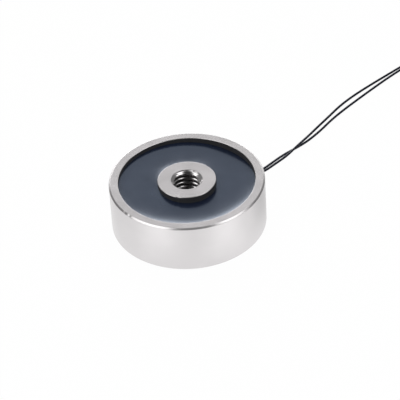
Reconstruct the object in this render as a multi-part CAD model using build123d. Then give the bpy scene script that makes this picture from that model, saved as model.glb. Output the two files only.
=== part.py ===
from build123d import *
from math import acos, atan, cos, degrees, pi, radians, sin, sqrt, tan
import os

os.makedirs("parts", exist_ok=True)

# A round holding electromagnet, in millimetres. A turned steel cup with a threaded pole in its
# middle holds a wound bobbin, which is potted in black resin. Two thin leads come out through a
# hole in the rim wall, run along the floor, and end in a small tied coil with tinned ends.
# The back face lies on z = 0, the holding face looks along +Z, and the origin is the centre of
# the back face.

# Steel yoke: rim, floor and pole in one turned piece
outer_diameter = 30.0
height = 10.0
rim_wall = 1.85
floor_thickness = 2.4
pole_diameter = 11.3
outer_chamfer = 0.3
edge_break = 0.08
groove_fillet = 0.25

# Threaded hole through the pole: tapped bore with a countersink at each mouth
thread_diameter = 6.0
thread_pitch = 1.0
mouth_margin = 0.05

# Lead hole through the rim wall
hole_diameter = 1.8
hole_land = 0.2
hole_azimuth = 33.0
hole_deburr = 0.12

# Potting resin: level below the holding face, and the rim it climbs up both walls
resin_recess = 1.3
resin_cover = 1.3
meniscus_rise = 0.45
meniscus_width = 1.5
plug_recess = 0.15

# Moulded bobbin that stands on the floor of the groove, round the pole
bobbin_clearance = 0.1
hub_wall = 0.6
flange_thickness = 0.6
lead_channel = 1.55
flange_fillet = 0.15
start_slot_width = 0.6
start_slot_root = 0.1
start_slot_floor = 0.2

# Winding of enamelled copper wire, and the tape round it
winding_setback = 0.6
tape_thickness = 0.12
magnet_wire_diameter = 0.14
tail_bend = 0.6
tail_root = 0.3
tail_landing = 1.5

# Leads: stranded core, thin insulation, and their joints to the winding
lead_diameter = 0.48
core_diameter = 0.26
lead_spacing = 0.6
lead_bend = 1.45
lead_reach = 46.0
core_reach = 8.0
solder_diameter = 0.42
solder_start = 49.0
solder_reach = 6.5
sleeve_wall = 0.15
sleeve_start = 41.0
sleeve_reach = 19.0
tail_reach = 20.0

# Tied coil of spare lead: two rows of turns of each lead, one lead above the other
coil_centre = (55.6, 47.2)
coil_mid_radius = 2.88
turn_pitch = 0.49
coil_columns = 4
coil_rows = 4
coil_edge_fillet = 0.2
tie_azimuth = -70.0
tie_thickness = 0.2
tie_width = 1.2
tie_twist_diameter = 0.7
tie_twist_length = 3.4
tinned_diameter = 0.3
tinned_length = 4.0

# Routes of the two leads on the floor, from just outside the hole to the coil and from the coil
# to the tinned ends. Lead b passes over lead a close to the cup.
lead_axis_height = 0.24
route_a = [
    (15.15, 10.55, 3.0),
    (17.6, 14.05, 2.15),
    (19.9, 17.3, 1.25),
    (22.2, 19.9, 0.5),
    (24.95, 22.4, lead_axis_height),
    (27.95, 25.75, lead_axis_height),
    (30.45, 29.1, lead_axis_height),
    (33.3, 32.3, lead_axis_height),
    (36.55, 35.6, lead_axis_height),
    (40.3, 39.35, lead_axis_height),
    (44.3, 43.2, lead_axis_height),
    (48.4, 46.75, lead_axis_height),
    (53.25, 48.75, lead_axis_height),
]
route_b = [
    (15.55, 9.85, 3.15),
    (17.9, 12.9, 2.5),
    (20.2, 15.85, 1.85),
    (22.1, 18.85, 1.4),
    (23.8, 21.45, 1.0),
    (25.4, 24.1, 0.4),
    (27.6, 27.2, lead_axis_height),
    (30.15, 30.45, lead_axis_height),
    (32.8, 33.95, lead_axis_height),
    (36.0, 37.25, lead_axis_height),
    (40.2, 40.9, lead_axis_height),
    (44.65, 44.55, lead_axis_height),
    (48.9, 47.95, 0.4),
    (53.25, 49.75, 1.22),
]
tail_a = [
    (55.3, 50.05, 0.73),
    (58.6, 51.4, 0.6),
    (61.2, 52.1, lead_axis_height),
    (63.6, 52.45, lead_axis_height),
]
tail_b = [
    (56.6, 49.9, 1.68),
    (59.6, 49.55, 1.25),
    (62.0, 48.85, 0.4),
    (64.2, 48.0, lead_axis_height),
    (66.0, 47.0, lead_axis_height),
]

# Sizes that follow from the ones above
outer_radius = outer_diameter / 2
rim_inner_radius = outer_radius - rim_wall
pole_radius = pole_diameter / 2
bore_radius = (thread_diameter - thread_pitch) / 2
mouth_radius = thread_diameter / 2 + mouth_margin
hole_radius = hole_diameter / 2
hole_height = floor_thickness + hole_land + hole_radius
resin_level = height - resin_recess
bobbin_top = resin_level - resin_cover
hub_inner_radius = pole_radius + bobbin_clearance
hub_outer_radius = hub_inner_radius + hub_wall
slot_end_radius = hub_outer_radius + start_slot_root + start_slot_width / 2
flange_radius = rim_inner_radius - lead_channel
winding_radius = flange_radius - winding_setback
winding_base = floor_thickness + flange_thickness
winding_top = bobbin_top - flange_thickness
tape_radius = winding_radius + tape_thickness
lead_circle = (tape_radius + rim_inner_radius) / 2
coil_half_width = (coil_columns * turn_pitch + lead_diameter) / 2
coil_height = (coil_rows - 1) * turn_pitch + lead_diameter
on_floor = (Align.CENTER, Align.CENTER, Align.MIN)


def ring(outer, inner, base, top):
    """A plain ring about the magnet's axis."""
    blank = Cylinder(outer, top - base, align=on_floor) - Cylinder(inner, top - base, align=on_floor)
    return Pos(0, 0, base) * blank


def circles(solid, radius, level):
    """The round edges of a solid that have this radius, at this level."""
    found = solid.edges().filter_by(GeomType.CIRCLE)
    found = found.filter_by(lambda edge: abs(edge.radius - radius) < 1e-4)
    return found.filter_by(lambda edge: abs(edge.arc_center.Z - level) < 1e-4)


def polar(azimuth, radius, level, offset=0.0):
    """A point at this azimuth and radius, moved sideways by the offset."""
    turn = radians(azimuth)
    across = radius * cos(turn) - offset * sin(turn)
    along = radius * sin(turn) + offset * cos(turn)
    return (across, along, level)


def outward(azimuth, radius, level):
    """A plane on the wall at this azimuth, with its normal pointing away from the axis."""
    turn = radians(azimuth)
    return Plane(polar(azimuth, radius, level), x_dir=(-sin(turn), cos(turn), 0), z_dir=polar(azimuth, 1, 0))


def tube(path, diameter):
    """A round wire along a path of straight runs and tangent arcs."""
    section = Plane(origin=path @ 0, z_dir=path % 0) * Circle(diameter / 2)
    return sweep(section, path=path)


def corner_radii(points, share=0.45):
    """The bend at each corner of a route, as large as its two runs allow."""
    corners = [Vector(*point) for point in points]
    radii = []
    for before, corner, after in zip(corners, corners[1:], corners[2:]):
        first = corner - before
        second = after - corner
        half_turn = radians(first.get_angle(second)) / 2
        radii.append(share * min(first.length, second.length) / tan(half_turn))
    return radii


def bent_segment(diameter, start, reach, side, hollow=0.0):
    """A round bar bent to the circle that the leads follow inside the cup."""
    section = Circle(diameter / 2)
    if hollow:
        section -= Circle(hollow / 2)
    section = Plane.XZ * Pos(lead_circle, hole_height) * section
    first = hole_azimuth + (start if side > 0 else -start - reach)
    return Rot(0, 0, first) * revolve(section, Axis.Z, revolution_arc=reach)


def make_yoke():
    """The cup, turned from bar: rim wall, floor, pole, through bore and lead hole."""
    yoke = Cylinder(outer_radius, height, align=on_floor)
    yoke -= ring(rim_inner_radius, pole_radius, floor_thickness, height)
    yoke -= Cylinder(bore_radius, height, align=on_floor)
    corners = circles(yoke, rim_inner_radius, floor_thickness) + circles(yoke, pole_radius, floor_thickness)
    yoke = fillet(corners, groove_fillet)
    yoke = chamfer(circles(yoke, outer_radius, height) + circles(yoke, outer_radius, 0), outer_chamfer)
    yoke = chamfer(circles(yoke, rim_inner_radius, height) + circles(yoke, pole_radius, height), edge_break)
    mouths = circles(yoke, bore_radius, height) + circles(yoke, bore_radius, 0)
    yoke = chamfer(mouths, mouth_radius - bore_radius)
    drill = Cylinder(hole_radius, 2 * rim_wall, align=on_floor)
    yoke -= outward(hole_azimuth, outer_radius - 1.5 * rim_wall, hole_height) * drill
    deburr = Cone(hole_radius, hole_radius + 2 * hole_deburr, 2 * hole_deburr, align=on_floor)
    yoke -= outward(hole_azimuth, outer_radius - hole_deburr, hole_height) * deburr
    return yoke


def make_bobbin():
    """The spool: a hub with two flanges, and a slot that brings the start of the wire out."""
    bobbin = ring(flange_radius, hub_inner_radius, floor_thickness, bobbin_top)
    bobbin -= ring(flange_radius, hub_outer_radius, winding_base, winding_top)
    rims = circles(bobbin, flange_radius, bobbin_top) + circles(bobbin, flange_radius, floor_thickness)
    bobbin = fillet(rims, flange_fillet)
    foot = circles(bobbin, hub_inner_radius, floor_thickness)
    bobbin = chamfer(foot, groove_fillet)
    end = Cylinder(start_slot_width / 2, flange_thickness, align=on_floor)
    length = flange_radius - hub_outer_radius
    slot = end + Box(length, start_slot_width, flange_thickness, align=(Align.MIN, Align.CENTER, Align.MIN))
    bobbin -= Rot(0, 0, start_azimuth()) * Pos(slot_end_radius, 0, winding_top) * slot
    return bobbin


def start_azimuth():
    """Where the start of the winding comes out, past the far end of lead b's joint."""
    return hole_azimuth - sleeve_start - tail_reach - degrees(atan(tail_landing / lead_circle))


def finish_tail():
    """The finish of the wire: out of the winding and round to the joint on lead a."""
    bend_radius = sqrt((lead_circle - tail_bend) ** 2 - tail_bend**2)
    bend_angle = degrees(acos(bend_radius / (lead_circle - tail_bend)))
    landing = hole_azimuth + sleeve_start + tail_reach
    azimuth = landing + bend_angle
    inside = polar(azimuth, winding_radius - tail_root, hole_height)
    turn_in = polar(azimuth, bend_radius, hole_height)
    reach = landing - (hole_azimuth + solder_start + solder_reach / 2)
    on_circle = polar(landing, lead_circle, hole_height)
    outlet = Line(inside, turn_in)
    bend = TangentArc(turn_in, on_circle, tangent=polar(azimuth, 1, 0))
    run = Pos(0, 0, hole_height) * CenterArc((0, 0, 0), lead_circle, landing, -reach)
    return tube(Wire([outlet.edge(), bend.edge(), run.edge()]), magnet_wire_diameter)


def start_tail():
    """The start of the wire: up from the hub, out through the flange slot, down to lead b's joint."""
    landing = hole_azimuth - sleeve_start - tail_reach
    slot_level = winding_top + start_slot_floor + magnet_wire_diameter / 2
    corner = Vector(*polar(landing, lead_circle, hole_height, -tail_landing))
    over = Vector(corner.X, corner.Y, slot_level)
    hub = Vector(*polar(start_azimuth(), slot_end_radius, slot_level))
    root = Vector(hub.X, hub.Y, winding_top - tail_root)
    landed = Vector(*polar(landing, lead_circle, hole_height))
    bends = [tail_root, tail_bend, tail_bend]
    drop = FilletPolyline(root, hub, over, corner, landed, radius=bends)
    reach = (hole_azimuth - solder_start - solder_reach / 2) - landing
    run = Pos(0, 0, hole_height) * CenterArc((0, 0, 0), lead_circle, landing, reach)
    return tube(Wire(drop.edges() + run.edges()), magnet_wire_diameter)


def make_winding():
    """The winding, filled out as one ring, with the start and the finish of its wire."""
    winding = ring(winding_radius, hub_outer_radius, winding_base, winding_top)
    return winding + finish_tail() + start_tail()


def lead_path(side, route):
    """One lead: round the coil, out through the hole, and along its route on the floor."""
    offset = side * lead_spacing / 2
    bend_offset = side * (lead_spacing / 2 + lead_bend)
    bend_radius = sqrt((lead_circle + lead_bend) ** 2 - bend_offset**2)
    bend_angle = degrees(acos(bend_radius / (lead_circle + lead_bend)))
    landing = polar(hole_azimuth + side * bend_angle, lead_circle, hole_height)
    turn_out = polar(hole_azimuth, bend_radius, hole_height, offset)
    outside = polar(hole_azimuth, outer_radius + hole_radius, hole_height, offset)
    first = hole_azimuth + side * lead_reach
    run = Pos(0, 0, hole_height) * CenterArc(
        (0, 0, 0), lead_circle, first, -side * (lead_reach - bend_angle)
    )
    bend = TangentArc(landing, turn_out, tangent=run.edge() % 1)
    points = [turn_out, outside] + route
    radii = corner_radii(points)
    free = FilletPolyline(*points, radius=radii)
    return Wire([run.edge(), bend.edge()] + list(free.edges())), free, radii


def make_lead(name, side, route, coil):
    """The insulated lead from its joint to the coil, and its printed measures."""
    path, free, radii = lead_path(side, route)
    lead = tube(path, lead_diameter)
    expected = pi * lead_diameter**2 / 4 * path.length
    print(f"{name}: free run {free.length:.1f} mm, volume ratio {lead.volume / expected:.4f}")
    print(f"{name}: bend radii", [round(radius, 1) for radius in radii])
    return lead - coil


def make_tail(name, route, coil):
    """The insulated end of a lead that comes off the coil."""
    radii = corner_radii(route)
    path = FilletPolyline(*route, radius=radii)
    print(f"{name}: run {path.length:.1f} mm, bend radii", [round(radius, 1) for radius in radii])
    return tube(path.wire(), lead_diameter) - coil


def make_tinned_end(route):
    """The stripped and tinned end of a lead, straight on from its insulation."""
    end = Vector(*route[-1])
    heading = (end - Vector(*route[-2])).normalized()
    return Plane(end, z_dir=heading) * Cylinder(tinned_diameter / 2, tinned_length, align=on_floor)


def across_coil(section, half_depth):
    """A block with this section, set across the bundle of turns where the tie is."""
    turn = radians(tie_azimuth)
    place = polar(tie_azimuth, coil_mid_radius, (coil_height + tie_thickness) / 2)
    upright = Plane(place, x_dir=polar(tie_azimuth, 1, 0), z_dir=(-sin(turn), cos(turn), 0))
    return upright * extrude(section, half_depth, both=True)


def make_spare_coil():
    """The outer shape of the coiled spare length of both leads, pinched where it is tied."""
    outer = coil_mid_radius + coil_half_width
    coil = ring(outer, coil_mid_radius - coil_half_width, 0, coil_height)
    coil = fillet(coil.edges().filter_by(GeomType.CIRCLE), coil_edge_fillet)
    room = Rectangle(2 * coil_mid_radius, coil_height + 2 * tie_thickness)
    pinched = coil & across_coil(tie_opening(), tie_width / 2)
    coil = coil - across_coil(room, tie_width / 2) + pinched
    return Pos(coil_centre[0], coil_centre[1], 0) * coil


def tie_opening():
    """The section that the tie holds the bundle of turns to."""
    return RectangleRounded(2 * coil_half_width, coil_height - tie_thickness, coil_edge_fillet)


def make_coil_tie():
    """The wire tie round the coil, with its twisted end lying outwards."""
    width = 2 * (coil_half_width + tie_thickness)
    frame = RectangleRounded(width, coil_height + tie_thickness, coil_edge_fillet + tie_thickness)
    band = across_coil(frame - tie_opening(), tie_width / 2)
    twist_start = coil_mid_radius + coil_half_width + tie_thickness / 2
    twist_level = (coil_height + tie_thickness) / 2
    twist = Cylinder(tie_twist_diameter / 2, tie_twist_length, align=on_floor)
    tie = band + outward(tie_azimuth, twist_start, twist_level) * twist
    return Pos(coil_centre[0], coil_centre[1], 0) * tie


def make_potting(inner):
    """The resin: up to its level with a rim at both walls, and into the lead hole."""
    level = resin_level
    crest = resin_level + meniscus_rise
    near = pole_radius + meniscus_width
    far = rim_inner_radius - meniscus_width
    pole_rim = TangentArc((near, level), (pole_radius, crest), tangent=(-1, 0))
    wall_rim = TangentArc((far, level), (rim_inner_radius, crest), tangent=(1, 0))
    sides = Polyline(
        (pole_radius, crest),
        (pole_radius, floor_thickness),
        (rim_inner_radius, floor_thickness),
        (rim_inner_radius, crest),
    )
    surface = Line((near, level), (far, level))
    section = make_face([pole_rim.edge(), surface.edge(), wall_rim.edge()] + list(sides.edges()))
    potting = revolve(Plane.XZ * section, Axis.Z)
    plug = Cylinder(hole_radius, rim_wall, align=on_floor)
    potting += outward(hole_azimuth, rim_inner_radius - plug_recess, hole_height) * plug
    potting -= ring(hub_outer_radius, 0, floor_thickness, bobbin_top)
    for piece in inner:
        potting -= piece
    return potting


yoke = make_yoke()
bobbin = make_bobbin()
coil_winding = make_winding()
coil_tape = ring(tape_radius, winding_radius, winding_base, winding_top) - coil_winding
coil_tie = make_coil_tie()
spare_coil = make_spare_coil()
lead_a = make_lead("lead_a", 1, route_a, spare_coil)
lead_b = make_lead("lead_b", -1, route_b, spare_coil)

nodes = {
    "yoke": yoke,
    "bobbin": bobbin,
    "coil_winding": coil_winding,
    "coil_tape": coil_tape,
    "lead_a": lead_a,
    "lead_b": lead_b,
    "spare_coil": spare_coil,
    "coil_tie": coil_tie,
    "lead_a_tail": make_tail("lead_a_tail", tail_a, spare_coil),
    "lead_b_tail": make_tail("lead_b_tail", tail_b, spare_coil),
    "lead_a_tinned_end": make_tinned_end(tail_a),
    "lead_b_tinned_end": make_tinned_end(tail_b),
}
for letter, side in (("a", 1), ("b", -1)):
    core = bent_segment(core_diameter, lead_reach, core_reach, side) - coil_winding
    solder = bent_segment(solder_diameter, solder_start, solder_reach, side) - core - coil_winding
    sleeve_bore = lead_diameter
    sleeve = bent_segment(sleeve_bore + 2 * sleeve_wall, sleeve_start, sleeve_reach, side, sleeve_bore)
    nodes[f"lead_{letter}_core"] = core
    nodes[f"solder_joint_{letter}"] = solder
    nodes[f"joint_sleeve_{letter}"] = sleeve

covered = [bobbin, coil_winding, coil_tape, lead_a, lead_b]
for side in (1, -1):
    covered.append(bent_segment(lead_diameter + 2 * sleeve_wall, sleeve_start, sleeve_reach, side))
nodes["potting"] = make_potting(covered) - yoke

for name, solid in nodes.items():
    export_step(solid, f"parts/{name}.step")
    print(f"{name}: {len(solid.solids())} solid, {solid.volume:.3f} mm3")
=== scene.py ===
"""Dresses a round holding electromagnet: plated steel cup with a tapped pole, poured resin, thin leads."""

import logging
from dataclasses import asdict, dataclass, field, replace
from enum import Enum
from functools import cache
from math import acos, cos, exp, hypot, pi, radians, sin, sqrt, tan
from typing import Any, Callable, Iterable, Optional, Sequence, Union

import bmesh
import bpy
from bpy.types import Material, Mesh, Node, NodeSocket, NodeTree, Object, World
from mathutils import Matrix, Vector, noise


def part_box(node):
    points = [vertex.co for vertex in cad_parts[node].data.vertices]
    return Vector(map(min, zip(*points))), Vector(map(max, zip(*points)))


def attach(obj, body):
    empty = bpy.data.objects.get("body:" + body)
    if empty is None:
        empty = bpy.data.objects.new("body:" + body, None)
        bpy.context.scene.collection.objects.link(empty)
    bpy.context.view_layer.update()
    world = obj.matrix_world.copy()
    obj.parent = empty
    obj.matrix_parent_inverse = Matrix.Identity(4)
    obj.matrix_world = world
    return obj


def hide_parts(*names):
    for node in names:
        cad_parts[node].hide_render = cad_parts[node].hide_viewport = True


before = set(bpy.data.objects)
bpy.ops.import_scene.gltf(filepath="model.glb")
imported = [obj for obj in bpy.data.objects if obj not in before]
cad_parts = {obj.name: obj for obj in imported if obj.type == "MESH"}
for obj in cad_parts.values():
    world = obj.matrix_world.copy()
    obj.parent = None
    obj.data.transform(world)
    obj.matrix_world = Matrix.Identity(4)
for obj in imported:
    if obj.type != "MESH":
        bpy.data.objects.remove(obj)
log = logging.getLogger("holding_electromagnet")

MM = 0.001
WELD = 0.0005
SHARP_ANGLE = 40.0
THREAD_HALF_ANGLE = 30.0
WHITE = (1.0, 1.0, 1.0, 1.0)
Point = tuple[float, float, float]
Colour = tuple[float, float, float]
Limits = tuple[float, float]
Sockets = Optional[dict[Any, Any]]


class Side(Enum):
    """The two leads, by the side of the hole's centre line on which each one runs."""

    A = 1
    B = -1

    @property
    def letter(self) -> str:
        """The letter that ends the names of this lead's pieces."""
        return self.name.lower()


class Area(Enum):
    """The areas of the cup that were finished in their own way; the top faces and the groove walls also
    carry painted shade.
    """

    GROUND = 0
    WALL = 1
    GROOVE = 2
    THREAD = 3


def polar(azimuth: float, radius: float, height: float, offset: float = 0.0) -> Point:
    """A point in millimetres about the magnet's axis.

    Args:
        azimuth: Degrees from +X towards +Y.
        radius: Distance from the axis.
        height: Height over the back face.
        offset: Sideways move, towards growing azimuth.

    Returns:
        The point.
    """
    turn = radians(azimuth)
    across = radius * cos(turn) - offset * sin(turn)
    along = radius * sin(turn) + offset * cos(turn)
    return (across, along, height)


def azimuths(count: int) -> list[float]:
    """This many directions in degrees, evenly round the circle."""
    return [360.0 * step / count for step in range(count)]


def math_method(operation: str, reflected: bool = False) -> Callable[..., "Signal"]:
    """Makes a method that adds one Math node.

    Args:
        operation: The Math node's operation.
        reflected: Whether the other value comes first.

    Returns:
        The method.
    """
    def method(signal: "Signal", other: Any = 0.0) -> "Signal":
        """Adds the node and returns its result."""
        first, second = (other, signal) if reflected else (signal, other)
        return signal.tree.add("ShaderNodeMath", {0: first, 1: second}, operation=operation)

    return method


class Signal:
    """A socket that takes part in Python expressions and adds its Math nodes."""

    def __init__(self, tree: "Tree", socket: NodeSocket) -> None:
        """Wraps a socket of the tree."""
        self.tree = tree
        self.socket = socket

    __add__ = math_method("ADD")
    __radd__ = math_method("ADD", reflected=True)
    __sub__ = math_method("SUBTRACT")
    __rsub__ = math_method("SUBTRACT", reflected=True)
    __mul__ = math_method("MULTIPLY")
    __rmul__ = math_method("MULTIPLY", reflected=True)
    __truediv__ = math_method("DIVIDE")
    at_least = math_method("MAXIMUM")
    at_most = math_method("MINIMUM")
    sine = math_method("SINE")
    cosine = math_method("COSINE")

    def ease(self, limits: Limits) -> "Signal":
        """Turns this number into 0 before the limits, 1 past them and an eased step between them."""
        sockets = {"Value": self, "From Min": limits[0], "From Max": limits[1]}
        return self.tree.add("ShaderNodeMapRange", sockets, interpolation_type="SMOOTHSTEP")


class Tree:
    """Builds one node tree."""

    def __init__(self, tree: NodeTree) -> None:
        """Starts with no nodes."""
        self.tree = tree
        self.tree.nodes.clear()

    def node(self, kind: str, sockets: Sockets = None, **settings: Any) -> Node:
        """Adds a node, with its settings first and its sockets after them.

        Args:
            kind: The node's type.
            sockets: Values, sockets or signals, by the input's name or number.
            settings: Attributes of the node.

        Returns:
            The node.
        """
        made = self.tree.nodes.new(kind)
        for name, value in settings.items():
            setattr(made, name, value)
        for name, value in (sockets or {}).items():
            if isinstance(value, Signal):
                self.tree.links.new(value.socket, made.inputs[name])
            else:
                made.inputs[name].default_value = value
        return made

    def add(self, kind: str, sockets: Sockets = None, output: Any = 0, **settings: Any) -> Signal:
        """Adds a node as above and wraps one of its outputs, by name or number."""
        return Signal(self, self.node(kind, sockets, **settings).outputs[output])

    def split(self, vector: Signal) -> list[Signal]:
        """The three parts of a vector."""
        return [Signal(self, part) for part in self.node("ShaderNodeSeparateXYZ", {0: vector}).outputs]

    def join(self, x: Signal, y: Signal, z: Signal) -> Signal:
        """A vector of three parts."""
        return self.add("ShaderNodeCombineXYZ", {0: x, 1: y, 2: z})


class Shader(Tree):
    """Builds the node tree of a material or of the world."""

    def __init__(self, owner: Union[Material, World]) -> None:
        """Starts with an empty tree on the owner."""
        owner.use_nodes = True
        super().__init__(owner.node_tree)

    def place(self) -> Signal:
        """The piece's own coordinates, in metres."""
        return self.add("ShaderNodeTexCoord", output="Object")

    def grain(self, size: float, detail: float, stretch: Point = (1.0, 1.0, 1.0)) -> Signal:
        """Noise with a mean near one half.

        Args:
            size: The size of its spots in millimetres.
            detail: How many finer layers it has.
            stretch: How much each direction is squeezed.

        Returns:
            The noise as a number.
        """
        mapped = self.add("ShaderNodeMapping", {"Vector": self.place(), "Scale": stretch})
        sockets = {"Vector": mapped, "Scale": 1.0 / (size * MM), "Detail": detail}
        return self.add("ShaderNodeTexNoise", sockets)

    def surface(
        self, tone: Signal, colours: Sequence[Colour], relief: Signal, depth: float, **rest: Any
    ) -> None:
        """Ends a material in a Principled shader.

        Args:
            tone: What mixes the two colours, from 0 to 1.
            colours: The two colours.
            relief: The height of the relief, from 0 to 1.
            depth: The depth of the relief in millimetres.
            rest: The other sockets, by name with _ for each space.
        """
        first, second = ((*colour, 1.0) for colour in colours)
        sockets = {name.replace("_", " "): value for name, value in rest.items()}
        colours_by = {0: tone, 6: first, 7: second}
        sockets["Base Color"] = self.add("ShaderNodeMix", colours_by, 2, data_type="RGBA")
        bump = {"Height": relief, "Distance": depth * MM, "Strength": 1.0}
        sockets["Normal"] = self.add("ShaderNodeBump", bump)
        shader = self.add("ShaderNodeBsdfPrincipled", sockets)
        self.node("ShaderNodeOutputMaterial", {0: shader})


@dataclass(frozen=True)
class Finish:
    """A material of two colours mixed by slow clouds, with a fine grain in its gloss and relief."""

    name: str
    dark: Colour
    pale: Colour
    roughness: float
    cloud_size: float
    grain_size: float
    depth: float
    cloud_detail: float = 2.0
    grain_detail: float = 2.0
    stretch: Point = (1.0, 1.0, 1.0)
    grain_share: float = 0.0
    contrast: float = 1.0
    cloud_gloss: float = 0.0
    grain_gloss: float = 0.0
    cloud_relief: float = 0.0
    grain_relief: float = 1.0
    metallic: float = 0.0
    gloss: float = 0.5
    ior: float = 1.5
    sheen: Colour = (1.0, 1.0, 1.0)

    @cache
    def material(self) -> Material:
        """Makes the material once.

        Returns:
            The material.
        """
        material = bpy.data.materials.new(self.name)
        shader = Shader(material)
        clouds = shader.grain(self.cloud_size, self.cloud_detail, self.stretch)
        grain = shader.grain(self.grain_size, self.grain_detail)
        mixed = clouds * (1.0 - self.grain_share) + grain * self.grain_share
        gloss = (clouds - 0.5) * self.cloud_gloss + (grain - 0.5) * self.grain_gloss
        shader.surface(
            ((mixed - 0.5) * self.contrast + 0.5).at_least(0.0).at_most(1.0),
            (self.dark, self.pale),
            clouds * self.cloud_relief + grain * self.grain_relief,
            self.depth,
            Roughness=self.roughness + gloss,
            Metallic=self.metallic,
            IOR=self.ior,
            Specular_IOR_Level=self.gloss,
            Specular_Tint=(*self.sheen, 1.0),
        )
        return material


@dataclass(frozen=True)
class EnamelledWire:
    """The winding: fine turns of enamelled copper, one above the other."""

    name: str = "enamelled_wire"
    colour: Colour = (0.62, 0.24, 0.09)
    shadow: Colour = (0.2, 0.06, 0.02)
    turn_pitch: float = 0.14
    depth_share: float = 0.25
    patch_size: float = 0.8
    patch_detail: float = 2.0
    patch_share: float = 0.2
    patch_gloss: float = 0.1
    roughness: float = 0.26

    @cache
    def material(self) -> Material:
        """Makes the material once, with the turns as a ripple over the height of the winding.

        Returns:
            The material.
        """
        material = bpy.data.materials.new(self.name)
        shader = Shader(material)
        height = shader.split(shader.place())[2]
        ripple = (height * (2.0 * pi / (self.turn_pitch * MM))).sine() * 0.5 + 0.5
        patches = shader.grain(self.patch_size, self.patch_detail)
        shader.surface(
            ripple * (1.0 - self.patch_share) + patches * self.patch_share,
            (self.shadow, self.colour),
            ripple,
            self.turn_pitch * self.depth_share,
            Roughness=self.roughness + (patches - 0.5) * self.patch_gloss,
            Metallic=1.0,
        )
        return material


def shaded(colour: Colour, share: float) -> Colour:
    """A colour with this share of its light."""
    return tuple(part * share for part in colour)


NICKEL: Colour = (0.745, 0.725, 0.73)
# Painted shade: the ground top faces are the same plated nickel as the wall; their darker colour stands in
# for the dimmer part of the room that they mirror.
PAINTED_SHADE_NICKEL: Colour = (0.48, 0.465, 0.47)
TURNED = Finish(
    "turned_nickel", shaded(NICKEL, 0.9), NICKEL, roughness=0.24, cloud_size=4.0, grain_size=0.09,
    depth=0.0006, grain_share=0.5, contrast=2.0, cloud_gloss=0.1, metallic=1.0,
)
GROUND = replace(
    TURNED, name="ground_nickel", dark=shaded(PAINTED_SHADE_NICKEL, 0.86), pale=PAINTED_SHADE_NICKEL,
    roughness=0.22, depth=0.0005,
)
THREADED = replace(TURNED, name="thread_nickel", dark=shaded(NICKEL, 0.7), roughness=0.16)
RESIN = Finish(
    "poured_resin", (0.01, 0.015, 0.032), (0.014, 0.02, 0.042), roughness=0.2, cloud_size=3.0,
    grain_size=0.12, depth=0.004, cloud_detail=3.0, grain_detail=3.0, cloud_gloss=0.1, grain_gloss=0.08,
    cloud_relief=0.7, grain_relief=0.05, ior=1.6, sheen=(0.62, 0.78, 1.0),
)
INSULATION = Finish(
    "lead_insulation", (0.006, 0.007, 0.015), (0.012, 0.014, 0.026), roughness=0.42, cloud_size=1.6,
    grain_size=0.06, depth=0.002, cloud_gloss=0.14, gloss=0.08,
)
# Painted shade: a flat dark film on the groove walls, in place of the cup's nickel, stands in for the
# shade in the groove and the dark resin that the walls mirror.
GROOVE_PAINTED_SHADE = replace(
    INSULATION, name="resin_film", dark=(0.05, 0.05, 0.053), pale=(0.075, 0.075, 0.078),
    roughness=0.5, gloss=0.2,
)
TIE_COVER = replace(INSULATION, name="tie_cover", roughness=0.5)
SLEEVE = replace(INSULATION, name="shrunk_sleeve", roughness=0.55)
TINNED = Finish(
    "tinned_copper", (0.5, 0.49, 0.47), (0.74, 0.73, 0.71), roughness=0.28, cloud_size=0.48,
    grain_size=0.12, depth=0.006, cloud_detail=3.0, cloud_gloss=0.2, metallic=1.0,
)
SOLDER = replace(TINNED, name="solder", roughness=0.2)
BOBBIN = Finish(
    "bobbin_plastic", (0.72, 0.69, 0.6), (0.8, 0.77, 0.69), roughness=0.45, cloud_size=2.5,
    grain_size=0.15, depth=0.006, cloud_detail=3.0, stretch=(1.0, 1.0, 2.5), grain_gloss=0.12,
)
TAPE = replace(
    BOBBIN, name="film_tape", dark=(0.62, 0.42, 0.05), pale=(0.72, 0.52, 0.09), roughness=0.25,
)
AREA_FINISHES = {
    Area.GROUND: GROUND,
    Area.WALL: TURNED,
    Area.GROOVE: GROOVE_PAINTED_SHADE,
    Area.THREAD: THREADED,
}


@dataclass(frozen=True)
class Corner:
    """A corner of a turned profile in millimetres, with its rounding and the area that follows it."""

    radius: float
    height: float
    area: Area
    rounding: float = 0.0


@dataclass
class Profile:
    """The outline that a turned piece is spun from."""

    corners: list[Corner]
    steps: int = 4
    hold: float = 0.02
    points: list[tuple[float, float]] = field(default_factory=list)
    areas: list[Area] = field(default_factory=list)

    def add(self, place: Vector, area: Area) -> None:
        """Adds a point and the area of the stretch after it."""
        self.points.append((place.x, place.y))
        self.areas.append(area)

    def trace(self) -> "Profile":
        """Rounds each corner and keeps a holding point on both sides of it.

        Returns:
            The profile itself, with its points and areas filled in.
        """
        places = [Vector((corner.radius, corner.height)) for corner in self.corners]
        last = len(places) - 1
        for index, corner in enumerate(self.corners):
            if corner.rounding == 0.0 or index in (0, last):
                self.add(places[index], corner.area)
                continue
            back = (places[index - 1] - places[index]).normalized()
            ahead = (places[index + 1] - places[index]).normalized()
            half = acos(max(-1.0, min(1.0, back.dot(ahead)))) / 2.0
            reach = corner.rounding / tan(half)
            centre = places[index] + (back + ahead).normalized() * (corner.rounding / sin(half))
            start = places[index] + back * reach - centre
            end = places[index] + ahead * reach - centre
            before = self.corners[index - 1].area
            self.add(places[index] + back * (reach + self.hold), before)
            sweep = start.angle_signed(end)
            for step in range(self.steps + 1):
                arm = start.copy()
                arm.rotate(Matrix.Rotation(-sweep * step / self.steps, 2))
                area = before if step < self.steps / 2 else corner.area
                self.add(centre + arm, area)
            self.add(places[index] + ahead * (reach + self.hold), corner.area)
        return self


def add_object(name: str, data: Any) -> Object:
    """Makes an object at the origin of the scene.

    Args:
        name: The object's name.
        data: Its mesh, curve, camera or light.

    Returns:
        The object.
    """
    obj = bpy.data.objects.new(name, data)
    bpy.context.scene.collection.objects.link(obj)
    return obj


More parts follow.
